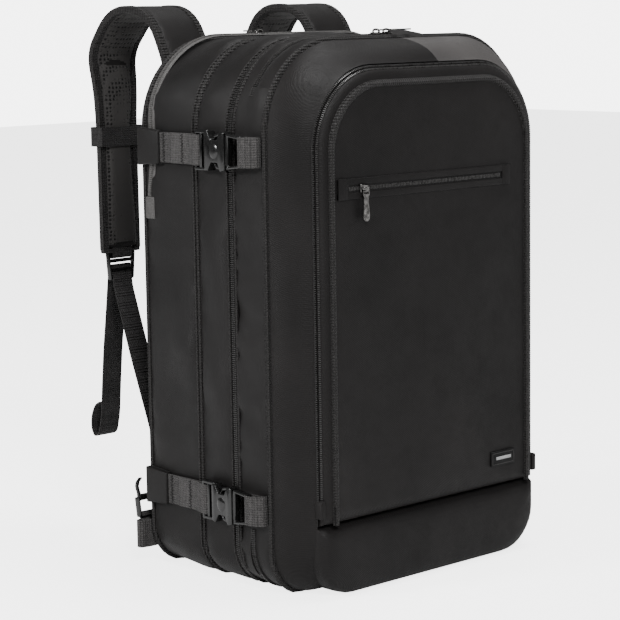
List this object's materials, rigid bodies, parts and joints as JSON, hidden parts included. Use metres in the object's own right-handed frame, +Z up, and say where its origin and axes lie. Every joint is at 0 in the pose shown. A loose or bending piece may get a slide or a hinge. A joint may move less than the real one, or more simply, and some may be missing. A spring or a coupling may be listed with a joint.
{
  "type": "travel backpack",
  "caption": "Carry-on travel backpack with a clamshell lid, an expansion zip, an arched front pocket, side compression straps with buckles and padded shoulder straps.",
  "frame": {"origin": "on the floor, under the middle of the bag's body", "axes": "+Z up, -Y to the front pocket, +Y to the shoulder straps, +X to the right in a front view"},
  "size_m": [0.3736, 0.3735, 0.5625],
  "materials": {
    "twill": "matt black fine twill",
    "lining": "plain dark lining",
    "stiffener_sheet": "thin plastic sheet",
    "binding": "ribbed binding tape",
    "zip_tape": "zip tape with a coil",
    "grey_zip_tape": "grey zip tape",
    "webbing": "ribbed webbing",
    "padded_mesh": "padded cloth and spacer mesh",
    "label": "plain rubber label",
    "buckle_plastic": "glossy black plastic",
    "zip_metal": "gunmetal"
  },
  "bodies": {
    "bag": {"back_panel": "twill", "back_stiffener": "stiffener_sheet", "rear_gusset": "twill", "laptop_zip": "grey_zip_tape", "rear_piping": "binding", "mid_gusset": "twill", "expansion_zip_rear": "zip_tape", "laptop_divider": "lining", "compression_webbings": "webbing", "anchor_tabs": "binding", "shoulder_strap_left": "padded_mesh", "shoulder_strap_right": "padded_mesh", "ladder_locks": "buckle_plastic", "lower_webbings": "webbing", "back_pads": "padded_mesh", "top_handle": "webbing", "hip_belt": "webbing", "hip_buckle_male": "buckle_plastic", "hip_buckle_female": "buckle_plastic"},
    "front_frame": {"front_strip": "twill", "expansion_zip_front": "zip_tape", "main_zip_rear": "zip_tape", "expansion_sleeve": "lining", "left_strap_tabs": "webbing", "strap_male_upper_left": "buckle_plastic", "strap_male_lower_left": "buckle_plastic"},
    "lid": {"lid_gusset": "twill", "main_zip_front": "zip_tape", "front_piping": "binding", "front_panel": "twill", "pocket_rim": "zip_tape", "front_base_panel": "twill", "right_strap_tabs": "webbing", "strap_male_upper_right": "buckle_plastic", "strap_male_lower_right": "buckle_plastic"},
    "pocket": {"pocket_flap": "twill", "slit_zip": "zip_tape", "slit_pouch": "lining", "front_label": "label"},
    "sternum": {"sternum_strap": "webbing", "sternum_male": "buckle_plastic"},
    "sternum_buckle": {"sternum_female": "buckle_plastic"},
    "buckle_upper_left": {"strap_female_upper_left": "buckle_plastic"},
    "buckle_upper_right": {"strap_female_upper_right": "buckle_plastic"},
    "buckle_lower_left": {"strap_female_lower_left": "buckle_plastic"},
    "buckle_lower_right": {"strap_female_lower_right": "buckle_plastic"},
    "main_slider_a": {"main_slider_a": "zip_metal"},
    "main_pull_a": {"main_pull_a": "zip_metal"},
    "main_slider_b": {"main_slider_b": "zip_metal"},
    "main_pull_b": {"main_pull_b": "zip_metal"},
    "pocket_slider_a": {"pocket_slider_a": "zip_metal"},
    "pocket_pull_a": {"pocket_pull_a": "zip_metal"},
    "pocket_slider_b": {"pocket_slider_b": "zip_metal"},
    "pocket_pull_b": {"pocket_pull_b": "zip_metal"},
    "slit_slider": {"slit_slider": "zip_metal"},
    "slit_pull": {"slit_pull": "zip_metal"},
    "laptop_slider": {"laptop_slider": "zip_metal"},
    "laptop_pull": {"laptop_pull": "zip_metal"},
    "expansion_slider": {"expansion_slider": "zip_metal"},
    "expansion_pull": {"expansion_pull": "zip_metal"}
  },
  "joints": [
    {"name": "expand", "type": "slide", "parent": "bag", "child": "front_frame", "axis": [0, -1, 0], "range_m": [0, 0.05]},
    {"name": "lid_open", "type": "hinge", "parent": "front_frame", "child": "lid", "pos_m": [-0.1745, -0.0878, 0.268], "axis": [0, 0, -1], "range_deg": [0, 110]},
    {"name": "pocket_open", "type": "hinge", "parent": "lid", "child": "pocket", "pos_m": [0, -0.138, 0.071], "axis": [1, 0, 0], "range_deg": [0, 95]},
    {"name": "sternum_height", "type": "slide", "parent": "bag", "child": "sternum", "axis": [0, 0, 1], "range_m": [-0.09, 0.05]},
    {"name": "sternum_release", "type": "slide", "parent": "sternum", "child": "sternum_buckle", "axis": [-1, 0, 0], "range_m": [0, 0.02]},
    {"name": "release_upper_left", "type": "slide", "parent": "front_frame", "child": "buckle_upper_left", "axis": [0, 1, 0], "range_m": [0, 0.02]},
    {"name": "release_upper_right", "type": "slide", "parent": "front_frame", "child": "buckle_upper_right", "axis": [0, 1, 0], "range_m": [0, 0.02]},
    {"name": "release_lower_left", "type": "slide", "parent": "front_frame", "child": "buckle_lower_left", "axis": [0, 1, 0], "range_m": [0, 0.02]},
    {"name": "release_lower_right", "type": "slide", "parent": "front_frame", "child": "buckle_lower_right", "axis": [0, 1, 0], "range_m": [0, 0.02]},
    {"name": "main_slider_a_travel", "type": "slide", "parent": "front_frame", "child": "main_slider_a", "axis": [-1, 0, 0], "range_m": [0, 0.075]},
    {"name": "main_pull_a_swing", "type": "hinge", "parent": "main_slider_a", "child": "main_pull_a", "pos_m": [-0.002, -0.0652, 0.532], "axis": [-1, 0, 0], "range_deg": [0, 150]},
    {"name": "main_slider_b_travel", "type": "slide", "parent": "front_frame", "child": "main_slider_b", "axis": [1, 0, 0], "range_m": [0, 0.065]},
    {"name": "main_pull_b_swing", "type": "hinge", "parent": "main_slider_b", "child": "main_pull_b", "pos_m": [0.012, -0.0652, 0.532], "axis": [-1, 0, 0], "range_deg": [0, 150]},
    {"name": "pocket_slider_a_travel", "type": "slide", "parent": "lid", "child": "pocket_slider_a", "axis": [-1, 0, 0], "range_m": [0, 0.08]},
    {"name": "pocket_pull_a_swing", "type": "hinge", "parent": "pocket_slider_a", "child": "pocket_pull_a", "pos_m": [0.018, -0.1014, 0.5062], "axis": [0, -1, 0], "range_deg": [0, 150]},
    {"name": "pocket_slider_b_travel", "type": "slide", "parent": "lid", "child": "pocket_slider_b", "axis": [1, 0, 0], "range_m": [0, 0.018]},
    {"name": "pocket_pull_b_swing", "type": "hinge", "parent": "pocket_slider_b", "child": "pocket_pull_b", "pos_m": [0.047, -0.1014, 0.5062], "axis": [0, -1, 0], "range_deg": [0, 150]},
    {"name": "slit_slider_travel", "type": "slide", "parent": "pocket", "child": "slit_slider", "axis": [1, 0, 0], "range_m": [0, 0.185]},
    {"name": "slit_pull_swing", "type": "hinge", "parent": "slit_slider", "child": "slit_pull", "pos_m": [-0.096, -0.1454, 0.388], "axis": [-1, 0, 0], "range_deg": [0, 150]},
    {"name": "laptop_slider_travel", "type": "slide", "parent": "bag", "child": "laptop_slider", "axis": [1, 0, 0], "range_m": [-0.045, 0.1]},
    {"name": "laptop_pull_swing", "type": "hinge", "parent": "laptop_slider", "child": "laptop_pull", "pos_m": [-0.03, 0.075, 0.532], "axis": [1, 0, 0], "range_deg": [0, 150]},
    {"name": "expansion_slider_travel", "type": "slide", "parent": "bag", "child": "expansion_slider", "axis": [0, 0, 1], "range_m": [-0.17, 0.09]},
    {"name": "expansion_pull_swing", "type": "hinge", "parent": "expansion_slider", "child": "expansion_pull", "pos_m": [0.1795, -0.0422, 0.3], "axis": [0, 0, -1], "range_deg": [0, 150]}
  ]
}
